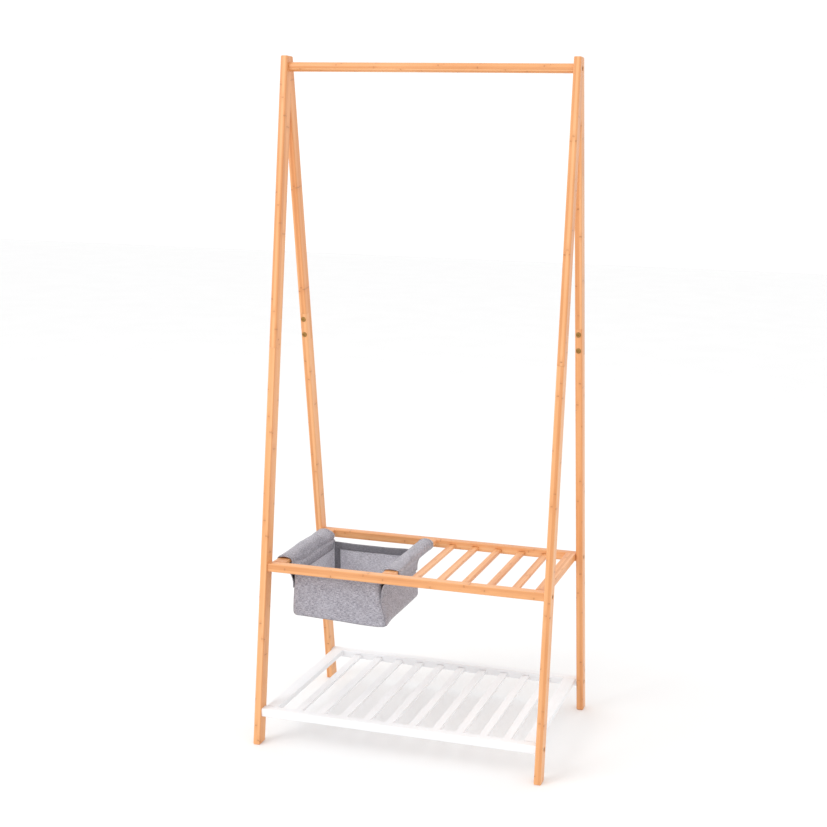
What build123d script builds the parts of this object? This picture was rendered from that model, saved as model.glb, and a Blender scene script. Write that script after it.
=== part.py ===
"""Bamboo A-frame clothes rack: two leg pairs, a round hanging bar, a slatted middle shelf
with a sliding fabric basket, and a white slatted lower shelf.

All sizes are in millimetres. +X runs along the hanging bar, +Y to the rear, +Z up. The origin is on the
floor, in the middle of the four feet.
"""
import os
from math import atan2, cos, degrees, sin, tan

from build123d import *

# Rack as a whole
RACK_HEIGHT = 1500.0
LEG_CENTRE_X = 324.0
FOOT_CENTRE_Y = 196.0

# Legs: flat bamboo sticks, each in two lengths that lap over each other
LEG_THICKNESS = 16.0
LEG_WIDTH = 28.0
LEG_EDGE_RADIUS = 2.8
END_CHAMFER = 1.6
LAP_CENTRE_Z = 906.0
LAP_LENGTH = 62.0
LAP_SEAM = 0.3
LAP_BOLT_SPACING = 36.0

# Hanging bar
BAR_DIAMETER = 20.0
BAR_CENTRE_Z = 1477.0

# Shelf rails, slats and boards
RAIL_HEIGHT = 19.0
RAIL_DEPTH = 20.0
RAIL_EDGE_RADIUS = 3.0
SLAT_THICKNESS = 7.0
SLAT_DROP = 8.0
SLAT_EDGE_RADIUS = 1.2
BOARD_EDGE_RADIUS = 1.5
MORTISE_DEPTH = 8.0
MORTISE_PLAY = 0.6
BOARD_TENON_THICKNESS = 5.0
BOARD_TENON_SHOULDER = 4.0
BOARD_TENON_DEPTH = 4.5

MIDDLE_SHELF_Z = 395.5
MIDDLE_SLAT_COUNT = 5
MIDDLE_SLAT_WIDTH = 16.0
MIDDLE_SLAT_PITCH = 56.6
MIDDLE_SLAT_LAST_X = 242.0
# Each board: its left edge, its right edge and its thickness
MIDDLE_BOARDS = ((-312.5, -284.5, 9.0), (-54.0, -24.0, 9.0), (291.5, 315.0, 16.0))

LOWER_SHELF_Z = 71.5
LOWER_SLAT_COUNT = 10
LOWER_SLAT_WIDTH = 18.0
LOWER_SLAT_PITCH = 54.0
LOWER_BOARDS = ((-312.5, -284.5, 12.0), (284.5, 312.5, 12.0))

# Fasteners: M6 bolts with hexagon sockets, brass inserts and wooden dowels
BOLT_SHANK = 6.0
BOLT_HOLE = 6.6
SOCKET_SIZE = 4.0
INSERT_DIAMETER = 10.0
LAP_HEAD_DIAMETER = 11.0
LAP_HEAD_HEIGHT = 3.0
LAP_SINK_DIAMETER = 12.0
LAP_SINK_DEPTH = 2.6
LAP_INSERT_LENGTH = 10.0
RAIL_HEAD_DIAMETER = 9.6
RAIL_HEAD_HEIGHT = 4.5
RAIL_SINK_DIAMETER = 10.4
RAIL_SINK_DEPTH = 6.0
RAIL_INSERT_LENGTH = 14.0
RAIL_BOLT_REACH = 15.0
DOWEL_DIAMETER = 8.0
DOWEL_LENGTH = 24.0
DOWEL_HEIGHTS = (1452.0, 1420.0)

# Fabric basket, hung by two sleeves on the left board and the centre board
FABRIC = 2.0
TAPE = 1.0
BASKET_LENGTH = 225.0
BASKET_REAR_GAP = 27.0
SLEEVE_PLAY = 1.0
SLEEVE_LOFT = 4.0
SLEEVE_CORNER_RADIUS = 5.0
FLAP_JOIN_Z = 356.0
FLAP_END_Z = 338.0
BOX_BASE_Z = 271.0
BOX_RIM_Z = 384.0
BOX_LEFT_X = -277.0
BOX_RIGHT_X = -62.0
HEM_HEIGHT = 16.0
CORNER_TAPE_WIDTH = 17.0

LEAN = atan2(FOOT_CENTRE_Y, RACK_HEIGHT)
LEG_INNER_X = LEG_CENTRE_X - LEG_THICKNESS / 2
LEG_OUTER_X = LEG_CENTRE_X + LEG_THICKNESS / 2
EVERYTHING = 4000.0


def leg_centre_y(height):
    """Distance of a leg's centre line from the rack's middle plane at a height."""
    return FOOT_CENTRE_Y - height * tan(LEAN)


def block(x_range, y_range, z_range):
    """A box from its three ranges."""
    size = [high - low for low, high in (x_range, y_range, z_range)]
    centre = [(high + low) / 2 for low, high in (x_range, y_range, z_range)]
    return Pos(*centre) * Box(*size)


def rod(start, direction, length, diameter):
    """A cylinder that starts at a point and runs along a direction."""
    plane = Plane(origin=start, z_dir=direction)
    return plane * Cylinder(diameter / 2, length, align=(Align.CENTER, Align.CENTER, Align.MIN))


def socket_bolt(seat, direction, head_diameter, head_height, reach):
    """A socket-head bolt. The seat is under its head, and direction points out of the head."""
    head = Cylinder(head_diameter / 2, head_height, align=(Align.CENTER, Align.CENTER, Align.MIN))
    head = fillet(head.edges().sort_by(Axis.Z)[-1], head_height / 4)
    shank = Cylinder(BOLT_SHANK / 2, reach, align=(Align.CENTER, Align.CENTER, Align.MAX))
    socket_depth = head_height * 0.6
    socket = extrude(RegularPolygon(SOCKET_SIZE / 2, 6, major_radius=False), socket_depth)
    bolt = head + shank - Pos(0, 0, head_height - socket_depth) * socket
    return Plane(origin=seat, z_dir=direction) * bolt


def insert(mouth, direction, length):
    """A threaded insert, from its mouth along a direction."""
    return rod(mouth, direction, length, INSERT_DIAMETER) - rod(mouth, direction, length, BOLT_SHANK)


def leg_plane():
    """Plane at the rear right foot: its Z runs up the leg, its Y across the leg, outwards."""
    return Plane(
        origin=(LEG_CENTRE_X, FOOT_CENTRE_Y, 0),
        x_dir=(1, 0, 0),
        z_dir=(0, -sin(LEAN), cos(LEAN)),
    )


def along_leg(height):
    """Distance up the leg's centre line at a height above the floor."""
    return height / cos(LEAN)


def lap_bolt_stations():
    """The two places of the lap bolts, as distances up the leg."""
    middle = along_leg(LAP_CENTRE_Z)
    return [middle - LAP_BOLT_SPACING / 2, middle + LAP_BOLT_SPACING / 2]


def leg_stick():
    """The rear right leg in one piece, with rounded edges, before it is cut in two."""
    profile = RectangleRounded(LEG_THICKNESS, LEG_WIDTH, LEG_EDGE_RADIUS)
    overrun = LEG_WIDTH
    stick = extrude(Pos(0, 0, -overrun) * profile, along_leg(RACK_HEIGHT) + 2 * overrun)
    stick = leg_plane() * stick
    wide = (0, EVERYTHING)
    stick = stick & block((-EVERYTHING, EVERYTHING), wide, (0, RACK_HEIGHT))
    foot = stick.faces().sort_by(Axis.Z)[0].edges()
    stick = chamfer(foot, END_CHAMFER)
    top = stick.faces().sort_by(Axis.Z)[-1].edges().filter_by(lambda edge: edge.center().Y > 1.0)
    return chamfer(top, END_CHAMFER)


def lap_region(low, high, y_range):
    """A block across the leg between two distances up the leg, in the leg's own plane."""
    return leg_plane() * block((-LEG_WIDTH, LEG_WIDTH), y_range, (low, high))


def leg_holes():
    """Holes through the rear right leg for the shelf bolts, the bar bolt and the dowels."""
    outer = LEG_OUTER_X
    cuts = []
    for height in (MIDDLE_SHELF_Z, LOWER_SHELF_Z, BAR_CENTRE_Z):
        middle = 0.0 if height == BAR_CENTRE_Z else leg_centre_y(height)
        cuts.append(rod((outer, middle, height), (-1, 0, 0), LEG_THICKNESS, BOLT_HOLE))
        cuts.append(rod((outer, middle, height), (-1, 0, 0), RAIL_SINK_DEPTH, RAIL_SINK_DIAMETER))
    for height in DOWEL_HEIGHTS:
        cuts.append(rod((LEG_CENTRE_X, 0, height), (0, 1, 0), DOWEL_LENGTH / 2, DOWEL_DIAMETER))
    return cuts


def leg_segments():
    """The upper and lower lengths of the rear right leg, lapped and drilled."""
    stick = leg_stick()
    for cut in leg_holes():
        stick = stick - cut
    middle = along_leg(LAP_CENTRE_Z)
    low = middle - LAP_LENGTH / 2
    high = middle + LAP_LENGTH / 2
    inner = (-LEG_WIDTH, 0)
    outer = (0, LEG_WIDTH)
    both = (-LEG_WIDTH, LEG_WIDTH)
    upper = stick - lap_region(-LEG_WIDTH, low, both) - lap_region(low - 1, high, inner)
    lower = stick - lap_region(high - LAP_SEAM, EVERYTHING, both)
    lower = lower - lap_region(low - LAP_SEAM, EVERYTHING, outer)
    for station in lap_bolt_stations():
        face = (0, -LEG_WIDTH / 2, station)
        hole = rod(face, (0, 1, 0), LEG_WIDTH / 2, BOLT_HOLE)
        sink = rod(face, (0, 1, 0), LAP_SINK_DEPTH, LAP_SINK_DIAMETER)
        lower = lower - leg_plane() * hole - leg_plane() * sink
        seat = rod((0, 0, station), (0, 1, 0), LAP_INSERT_LENGTH, INSERT_DIAMETER)
        upper = upper - leg_plane() * seat
    return upper, lower


def lap_fasteners():
    """The bolts and inserts of the rear right leg's lap."""
    bolts = []
    inserts = []
    for station in lap_bolt_stations():
        seat = (0, -LEG_WIDTH / 2 + LAP_SINK_DEPTH, station)
        reach = LEG_WIDTH / 2 - LAP_SINK_DEPTH + LAP_INSERT_LENGTH
        bolt = socket_bolt(seat, (0, -1, 0), LAP_HEAD_DIAMETER, LAP_HEAD_HEIGHT, reach)
        bolts.append(leg_plane() * bolt)
        inserts.append(leg_plane() * insert((0, 0, station), (0, 1, 0), LAP_INSERT_LENGTH))
    return bolts, inserts


def rail_fastener(middle_y, height):
    """The bolt and the insert that hold a rail or the bar to the right leg pair."""
    seat = (LEG_OUTER_X - RAIL_SINK_DEPTH, middle_y, height)
    reach = LEG_THICKNESS - RAIL_SINK_DEPTH + RAIL_BOLT_REACH - 1.0
    bolt = socket_bolt(seat, (1, 0, 0), RAIL_HEAD_DIAMETER, RAIL_HEAD_HEIGHT, reach)
    return bolt, insert((LEG_INNER_X, middle_y, height), (-1, 0, 0), RAIL_INSERT_LENGTH)


def rail_socket(middle_y, height):
    """The blind hole for a bolt and its insert in the right end of a rail or the bar."""
    mouth = (LEG_INNER_X, middle_y, height)
    hole = rod(mouth, (-1, 0, 0), RAIL_INSERT_LENGTH, INSERT_DIAMETER)
    return hole + rod(mouth, (-1, 0, 0), RAIL_BOLT_REACH + 1.0, BOLT_HOLE)


def in_four(shape):
    """A rear right shape and its mirror images at the other three legs."""
    rear = [shape, mirror(shape, Plane.YZ)]
    return rear + [mirror(other, Plane.XZ) for other in rear]


def in_two(shape):
    """A right-hand shape and its mirror image at the left."""
    return [shape, mirror(shape, Plane.YZ)]


def hanging_bar():
    """The round bar, with a socket for a bolt in each end."""
    bar = rod((-LEG_INNER_X, 0, BAR_CENTRE_Z), (1, 0, 0), 2 * LEG_INNER_X, BAR_DIAMETER)
    for socket in in_two(rail_socket(0.0, BAR_CENTRE_Z)):
        bar = bar - socket
    return bar


def rounded_bar(x_range, y_range, z_range, radius, axis):
    """A block whose four edges along an axis are rounded."""
    solid = block(x_range, y_range, z_range)
    return fillet(solid.edges().filter_by(axis), radius)


class Shelf:
    """A frame of two rails, with boards and slats let into them."""

    def __init__(self, height, boards, slat_places, slat_width):
        self.height = height
        self.top = height + RAIL_HEIGHT / 2
        self.rail_y = leg_centre_y(height)
        self.inner_y = self.rail_y - RAIL_DEPTH / 2
        self.boards = boards
        self.slat_places = slat_places
        self.slat_width = slat_width

    def slat(self, place):
        """One slat, housed in both rails."""
        reach = self.inner_y + MORTISE_DEPTH
        low = place - self.slat_width / 2
        z_high = self.top - SLAT_DROP
        return rounded_bar(
            (low, low + self.slat_width),
            (-reach, reach),
            (z_high - SLAT_THICKNESS, z_high),
            SLAT_EDGE_RADIUS,
            Axis.Y,
        )

    def slat_mortise(self, place):
        """The slot that a slat needs in the rails."""
        reach = self.inner_y + MORTISE_DEPTH
        low = place - self.slat_width / 2
        z_high = self.top - SLAT_DROP
        z_range = (z_high - SLAT_THICKNESS, z_high + MORTISE_PLAY)
        return block((low, low + self.slat_width), (-reach, reach), z_range)

    def board_tenon(self, board):
        """The tongue that runs past both ends of a board, into the rails."""
        left, right, thickness = board
        reach = self.inner_y + BOARD_TENON_DEPTH
        z_low = self.top - thickness / 2 - BOARD_TENON_THICKNESS / 2
        z_range = (z_low, z_low + BOARD_TENON_THICKNESS)
        x_range = (left + BOARD_TENON_SHOULDER, right - BOARD_TENON_SHOULDER)
        return block(x_range, (-reach, reach), z_range)

    def board(self, board):
        """One wide board, its top level with the rails."""
        left, right, thickness = board
        plank = rounded_bar(
            (left, right),
            (-self.inner_y, self.inner_y),
            (self.top - thickness, self.top),
            BOARD_EDGE_RADIUS,
            Axis.Y,
        )
        return plank + self.board_tenon(board)

    def rear_rail(self):
        """The rear rail, mortised for boards and slats and drilled for its bolts."""
        rail = rounded_bar(
            (-LEG_INNER_X, LEG_INNER_X),
            (self.inner_y, self.inner_y + RAIL_DEPTH),
            (self.top - RAIL_HEIGHT, self.top),
            RAIL_EDGE_RADIUS,
            Axis.X,
        )
        for place in self.slat_places:
            rail = rail - self.slat_mortise(place)
        for board in self.boards:
            rail = rail - self.board_tenon(board)
        for socket in in_two(rail_socket(self.rail_y, self.height)):
            rail = rail - socket
        return rail

    def front_rail(self):
        """The front rail, the rear rail's mirror image."""
        return mirror(self.rear_rail(), Plane.XZ)


def middle_shelf():
    """The bamboo shelf: three boards at its left, centre and right, and slats to the right."""
    first = MIDDLE_SLAT_LAST_X - MIDDLE_SLAT_PITCH * (MIDDLE_SLAT_COUNT - 1)
    slats = [first + MIDDLE_SLAT_PITCH * index for index in range(MIDDLE_SLAT_COUNT)]
    return Shelf(MIDDLE_SHELF_Z, MIDDLE_BOARDS, slats, MIDDLE_SLAT_WIDTH)


def lower_shelf():
    """The white shelf: a board at each end and evenly spaced slats between them."""
    first = -LOWER_SLAT_PITCH * (LOWER_SLAT_COUNT - 1) / 2
    slats = [first + LOWER_SLAT_PITCH * index for index in range(LOWER_SLAT_COUNT)]
    return Shelf(LOWER_SHELF_Z, LOWER_BOARDS, slats, LOWER_SLAT_WIDTH)


class Basket:
    """A fabric box that hangs by two sleeves from two of the middle shelf's boards."""

    def __init__(self, shelf):
        left_board, right_board = shelf.boards[0], shelf.boards[1]
        self.board_top = shelf.top
        self.board_base = shelf.top - left_board[2]
        self.left_board = left_board[:2]
        self.right_board = right_board[:2]
        self.rear = shelf.inner_y - BASKET_REAR_GAP
        self.front = self.rear - BASKET_LENGTH
        self.left_inner = BOX_LEFT_X + FABRIC
        self.right_inner = BOX_RIGHT_X - FABRIC

    def sleeve(self, wall_outer, near_edge, far_edge, side):
        """A loop of fabric over a board, closed on the wall below by its flap.

        wall_outer is the box wall's outer face, near_edge and far_edge are the board's
        edges, and side is +1 where the board lies to the right of the box.
        """
        half = FABRIC / 2
        near = near_edge - side * (SLEEVE_PLAY + half)
        far = far_edge + side * (SLEEVE_PLAY + half)
        top = self.board_top + SLEEVE_LOFT + half
        wall = wall_outer - side * half
        flap = wall_outer + side * (2 * TAPE + half)
        route = [
            (wall, FLAP_JOIN_Z),
            (near, self.board_base),
            (near, top),
            (far, top),
            (far, self.board_base),
            (flap, FLAP_JOIN_Z),
            (flap, FLAP_END_Z),
        ]
        corners = len(route) - 2
        path = Plane.XZ * FilletPolyline(*route, radius=[SLEEVE_CORNER_RADIUS] * corners)
        band = offset(path, half, side=Side.BOTH, kind=Kind.ARC)
        face = make_face(band.edges())
        loop = extrude(face, BASKET_LENGTH, dir=(0, 1, 0))
        loop = loop - block((-EVERYTHING, EVERYTHING), (-EVERYTHING, EVERYTHING), (0, FLAP_END_Z))
        keep_out = sorted((wall_outer - side * 2 * FABRIC, wall_outer + side * 2 * TAPE))
        loop = loop - block(keep_out, (-EVERYTHING, EVERYTHING), (0, FLAP_JOIN_Z))
        return Pos(0, self.front, 0) * loop

    def wall(self, x_range):
        """A side wall of the box, up to where the sleeve starts."""
        return block(x_range, (self.front, self.rear), (BOX_BASE_Z, FLAP_JOIN_Z))

    def upright_range(self):
        """The box's clear width between its side walls."""
        return (self.left_inner, self.right_inner)

    def front_panel(self):
        """The front wall, between the side walls."""
        y_range = (self.front, self.front + FABRIC)
        return block(self.upright_range(), y_range, (BOX_BASE_Z, BOX_RIM_Z))

    def back_panel(self):
        """The rear wall, between the side walls."""
        y_range = (self.rear - FABRIC, self.rear)
        return block(self.upright_range(), y_range, (BOX_BASE_Z, BOX_RIM_Z))

    def base_panel(self):
        """The floor of the box."""
        y_range = (self.front + FABRIC, self.rear - FABRIC)
        return block(self.upright_range(), y_range, (BOX_BASE_Z, BOX_BASE_Z + FABRIC))

    def hems(self):
        """The binding along the rims of the front and rear walls."""
        z_range = (BOX_RIM_Z - HEM_HEIGHT, BOX_RIM_Z)
        front = (self.front + FABRIC, self.front + FABRIC + TAPE)
        rear = (self.rear - FABRIC - TAPE, self.rear - FABRIC)
        return [block(self.upright_range(), y_range, z_range) for y_range in (front, rear)]

    def corner_tapes(self):
        """The binding up the four inside corners."""
        low, high = self.upright_range()
        z_range = (BOX_BASE_Z + FABRIC, BOX_RIM_Z - HEM_HEIGHT)
        front = (self.front + FABRIC, self.front + FABRIC + TAPE)
        rear = (self.rear - FABRIC - TAPE, self.rear - FABRIC)
        tapes = []
        for x_range in ((low, low + CORNER_TAPE_WIDTH), (high - CORNER_TAPE_WIDTH, high)):
            for y_range in (front, rear):
                tapes.append(block(x_range, y_range, z_range))
        return tapes

    def fastening_strip(self, wall_outer, side, layer):
        """A strip of hook or loop tape: layer 0 lies on the wall, layer 1 on the flap."""
        x_range = sorted((wall_outer + side * layer * TAPE, wall_outer + side * (layer + 1) * TAPE))
        return block(x_range, (self.front, self.rear), (FLAP_END_Z, FLAP_JOIN_Z))

    def nodes(self):
        """Every piece of the basket by name."""
        walls = ((BOX_LEFT_X, -1), (BOX_RIGHT_X, 1))
        return {
            "basket_front_panel": self.front_panel(),
            "basket_back_panel": self.back_panel(),
            "basket_base_panel": self.base_panel(),
            "basket_left_wall": self.wall((BOX_LEFT_X, self.left_inner)),
            "basket_right_wall": self.wall((self.right_inner, BOX_RIGHT_X)),
            "basket_left_sleeve": self.sleeve(BOX_LEFT_X, *reversed(self.left_board), -1),
            "basket_right_sleeve": self.sleeve(BOX_RIGHT_X, *self.right_board, 1),
            "basket_rim_hems": Compound(self.hems()),
            "basket_corner_tapes": Compound(self.corner_tapes()),
            "basket_loop_strips": Compound([self.fastening_strip(*wall, 0) for wall in walls]),
            "basket_hook_strips": Compound([self.fastening_strip(*wall, 1) for wall in walls]),
        }


def leg_nodes():
    """The eight leg segments by name."""
    upper, lower = leg_segments()
    nodes = {}
    for part, shape in (("upper_leg", upper), ("lower_leg", lower)):
        places = ("rear_right", "rear_left", "front_right", "front_left")
        for place, piece in zip(places, in_four(shape)):
            nodes[f"{place}_{part}"] = piece
    return nodes


def fastener_nodes():
    """Bolts, inserts and dowels, one node for each kind."""
    lap_bolts, lap_inserts = lap_fasteners()
    middle_bolt, middle_insert = rail_fastener(leg_centre_y(MIDDLE_SHELF_Z), MIDDLE_SHELF_Z)
    lower_bolt, lower_insert = rail_fastener(leg_centre_y(LOWER_SHELF_Z), LOWER_SHELF_Z)
    bar_bolt, bar_insert = rail_fastener(0.0, BAR_CENTRE_Z)
    dowels = []
    for height in DOWEL_HEIGHTS:
        start = (LEG_CENTRE_X, -DOWEL_LENGTH / 2, height)
        dowels += in_two(rod(start, (0, 1, 0), DOWEL_LENGTH, DOWEL_DIAMETER))
    return {
        "lap_bolts": Compound([copy for bolt in lap_bolts for copy in in_four(bolt)]),
        "lap_inserts": Compound([copy for piece in lap_inserts for copy in in_four(piece)]),
        "middle_shelf_bolts": Compound(in_four(middle_bolt)),
        "middle_shelf_inserts": Compound(in_four(middle_insert)),
        "lower_shelf_bolts": Compound(in_four(lower_bolt)),
        "lower_shelf_inserts": Compound(in_four(lower_insert)),
        "bar_bolts": Compound(in_two(bar_bolt)),
        "bar_inserts": Compound(in_two(bar_insert)),
        "apex_dowels": Compound(dowels),
    }


def shelf_nodes(prefix, shelf, board_names):
    """A shelf's rails, boards and slats by name."""
    nodes = {
        f"{prefix}_front_rail": shelf.front_rail(),
        f"{prefix}_rear_rail": shelf.rear_rail(),
    }
    for name, board in zip(board_names, shelf.boards):
        nodes[f"{prefix}_{name}_board"] = shelf.board(board)
    for number, place in enumerate(shelf.slat_places, start=1):
        nodes[f"{prefix}_slat_{number:02d}"] = shelf.slat(place)
    return nodes


def build_rack():
    """Every node of the rack by name."""
    middle = middle_shelf()
    nodes = leg_nodes()
    nodes["hanging_bar"] = hanging_bar()
    nodes.update(shelf_nodes("middle_shelf", middle, ("left", "centre", "right")))
    nodes.update(shelf_nodes("lower_shelf", lower_shelf(), ("left", "right")))
    nodes.update(fastener_nodes())
    nodes.update(Basket(middle).nodes())
    return nodes


os.makedirs("parts", exist_ok=True)
for node_name, node_shape in build_rack().items():
    export_step(node_shape, f"parts/{node_name}.step")
print(f"legs lean {degrees(LEAN):.2f} degrees")
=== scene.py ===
"""Looks for a bamboo A-frame clothes rack with a sliding fabric basket and a white lower shelf.

Sizes are in metres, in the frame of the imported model: +X along the hanging bar, +Y to the
rear, +Z up, with the origin on the floor between the feet.
"""

import logging
import math
from dataclasses import dataclass, field
from enum import Enum

import bpy
import numpy as np
from mathutils import Matrix, Vector

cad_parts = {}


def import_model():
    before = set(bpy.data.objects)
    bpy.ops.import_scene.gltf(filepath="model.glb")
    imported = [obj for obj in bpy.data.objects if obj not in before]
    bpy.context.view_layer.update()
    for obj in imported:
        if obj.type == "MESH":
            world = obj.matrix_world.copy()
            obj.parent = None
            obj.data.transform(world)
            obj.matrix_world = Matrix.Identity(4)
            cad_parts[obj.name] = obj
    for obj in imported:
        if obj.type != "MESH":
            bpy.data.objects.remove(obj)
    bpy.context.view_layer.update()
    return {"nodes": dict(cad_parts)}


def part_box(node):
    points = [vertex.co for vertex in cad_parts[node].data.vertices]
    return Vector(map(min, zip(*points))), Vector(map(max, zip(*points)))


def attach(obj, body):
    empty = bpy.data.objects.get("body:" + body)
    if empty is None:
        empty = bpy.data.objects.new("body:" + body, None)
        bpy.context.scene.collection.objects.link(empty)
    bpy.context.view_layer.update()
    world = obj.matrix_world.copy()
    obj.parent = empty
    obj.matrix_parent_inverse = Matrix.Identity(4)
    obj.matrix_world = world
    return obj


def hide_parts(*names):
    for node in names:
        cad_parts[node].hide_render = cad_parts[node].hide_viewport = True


log = logging.getLogger("rack")

MM = 0.001
LEG_RUN = 0.196
LEG_RISE = 1.5
LEG_LEAN = math.atan2(LEG_RUN, LEG_RISE)

Colour = tuple[float, float, float]
Array = np.ndarray
STILL = (0.0, 0.0, 0.0)
UNSCALED = (1.0, 1.0, 1.0)
SEED_SHIFT = (0.37, 0.53, 0.71)
SHELL_SIDES = ((0, 0, 2, 1), (0, 1, 1, 2), (1, 0, 0, 2), (1, 1, 2, 0), (2, 0, 1, 0))
CORNERS = (
    ("front_left", 0, 0),
    ("front_right", 1, 0),
    ("back_left", 0, 1),
    ("back_right", 1, 1),
)


# ---------------------------------------------------------------- material graphs


class Graph:
    """A material's node tree, with short calls that add nodes and link them."""

    def __init__(self, name: str) -> None:
        """Starts an empty material.

        Args:
            name: the material's name.
        """
        self.material = bpy.data.materials.new(name)
        self.material.use_nodes = True
        self.nodes = self.material.node_tree.nodes
        self.links = self.material.node_tree.links
        self.nodes.clear()
        self.shader = self.nodes.new("ShaderNodeBsdfPrincipled")
        output = self.nodes.new("ShaderNodeOutputMaterial")
        self.links.new(self.shader.outputs["BSDF"], output.inputs["Surface"])

    def plug(self, socket: bpy.types.NodeSocket, value: object) -> None:
        """Links an output to a socket, or sets the socket's own value."""
        if isinstance(value, bpy.types.NodeSocket):
            self.links.new(value, socket)
        elif isinstance(value, tuple) and len(value) == 3 and socket.type == "RGBA":
            socket.default_value = (*value, 1.0)
        else:
            socket.default_value = value

    def add(self, kind: str, output: str | int, inputs: dict, **settings: object) -> object:
        """Adds a node.

        Args:
            kind: the node's type.
            output: the name or number of the output that is wanted.
            inputs: a value or an output for each input, by its name or number.
            settings: the node's own properties.

        Returns:
            The wanted output.
        """
        node = self.nodes.new(kind)
        for name, value in settings.items():
            setattr(node, name, value)
        for name, value in inputs.items():
            self.plug(node.inputs[name], value)
        return node.outputs[output]

    def set(self, **values: object) -> None:
        """Sets the shader's inputs; an underscore in a name stands for a space."""
        for name, value in values.items():
            self.plug(self.shader.inputs[name.replace("_", " ")], value)

    def points(self) -> object:
        """The surface's points in the row frame."""
        return self.add("ShaderNodeTexCoord", "Object", {})

    def uv(self) -> object:
        """The piece's own flat pattern, in metres of cloth."""
        return self.add("ShaderNodeTexCoord", "UV", {})

    def place(self, vector: object, shift: Colour, turn: Colour, scale: Colour) -> object:
        """Moves, turns and, first of all, scales a pattern."""
        places = {"Vector": vector, "Location": shift, "Rotation": turn, "Scale": scale}
        return self.add("ShaderNodeMapping", "Vector", places)

    def math(self, operation: str, a: object, b: object = 0.0, clamp: bool = False) -> object:
        """One arithmetic step on numbers."""
        return self.add("ShaderNodeMath", 0, {0: a, 1: b}, operation=operation, use_clamp=clamp)

    def split(self, vector: object) -> list[bpy.types.NodeSocket]:
        """The three numbers of a vector."""
        return list(self.add("ShaderNodeSeparateXYZ", 0, {0: vector}).node.outputs)

    def join(self, x: object, y: object, z: object) -> object:
        """A vector from three numbers."""
        return self.add("ShaderNodeCombineXYZ", 0, {0: x, 1: y, 2: z})

    def noise(
        self, vector: object, scale: float, detail: float = 2.0, rough: float = 0.5
    ) -> object:
        """Smooth noise from 0 to 1."""
        inputs = {"Vector": vector, "Scale": scale, "Detail": detail, "Roughness": rough}
        return self.add("ShaderNodeTexNoise", "Fac", inputs)

    def random(self, vector: object) -> object:
        """One random number from 0 to 1 for each whole-number place."""
        kind = "ShaderNodeTexWhiteNoise"
        return self.add(kind, "Value", {"Vector": vector}, noise_dimensions="3D")

    def spread(
        self, value: object, low: float, high: float, to_low: float, to_high: float
    ) -> object:
        """Maps a number from one range to another, held at its ends."""
        inputs = {
            "Value": value,
            "From Min": low,
            "From Max": high,
            "To Min": to_low,
            "To Max": to_high,
        }
        return self.add("ShaderNodeMapRange", "Result", inputs, clamp=True)

    def ramp(self, value: object, stops: list[tuple[float, Colour]]) -> object:
        """A colour for each number, through a list of stops."""
        result = self.add("ShaderNodeValToRGB", "Color", {"Fac": value})
        elements = result.node.color_ramp.elements
        while len(elements) < len(stops):
            elements.new(0.5)
        for element, (place, colour) in zip(elements, stops):
            element.position = place
            element.color = (*colour, 1.0)
        return result

    def streaks(
        self, points: object, shift: Colour, scale: Colour, detail: float, rough: float = 0.5
    ) -> object:
        """Noise from 0 to 1, moved by a shift and stretched along some axes."""
        return self.noise(self.place(points, shift, STILL, scale), 1.0, detail, rough)

    def weigh(self, *parts: tuple[object, float], offset: float | None = None) -> object:
        """A weighted sum of numbers, clamped when an offset is added."""
        total = None
        for value, weight in parts:
            part = self.math("MULTIPLY", value, weight)
            total = part if total is None else self.math("ADD", total, part)
        return total if offset is None else self.math("ADD", total, offset, clamp=True)

    def mix(self, factor: object, a: object, b: object) -> object:
        """Two colours mixed by a factor."""
        return self.add("ShaderNodeMix", 2, {0: factor, 6: a, 7: b}, data_type="RGBA")

    def bump(self, height: object, distance: float, strength: float = 1.0) -> None:
        """Gives the shader a bumpy surface, where a height of 1 is a distance in metres."""
        inputs = {"Strength": strength, "Distance": distance, "Height": height}
        normal = self.add("ShaderNodeBump", "Normal", inputs)
        self.links.new(normal, self.shader.inputs["Normal"])


# ---------------------------------------------------------------- finishes


class Grain(Enum):
    """Which way a wooden piece runs: the turn that brings its length onto Z."""

    ALONG_X = (0.0, -math.pi / 2, 0.0)
    ALONG_Y = (math.pi / 2, 0.0, 0.0)
    FRONT_LEG = (LEG_LEAN, 0.0, 0.0)
    REAR_LEG = (-LEG_LEAN, 0.0, 0.0)

    def lay(self, graph: Graph, seed: int) -> tuple[bpy.types.NodeSocket, Colour]:
        """The points with the grain along Z, and the shift that belongs to a seed."""
        shift = tuple(part * seed for part in SEED_SHIFT)
        turned = graph.place(graph.points(), STILL, self.value, UNSCALED)
        return graph.place(turned, shift, STILL, UNSCALED), shift


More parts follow.
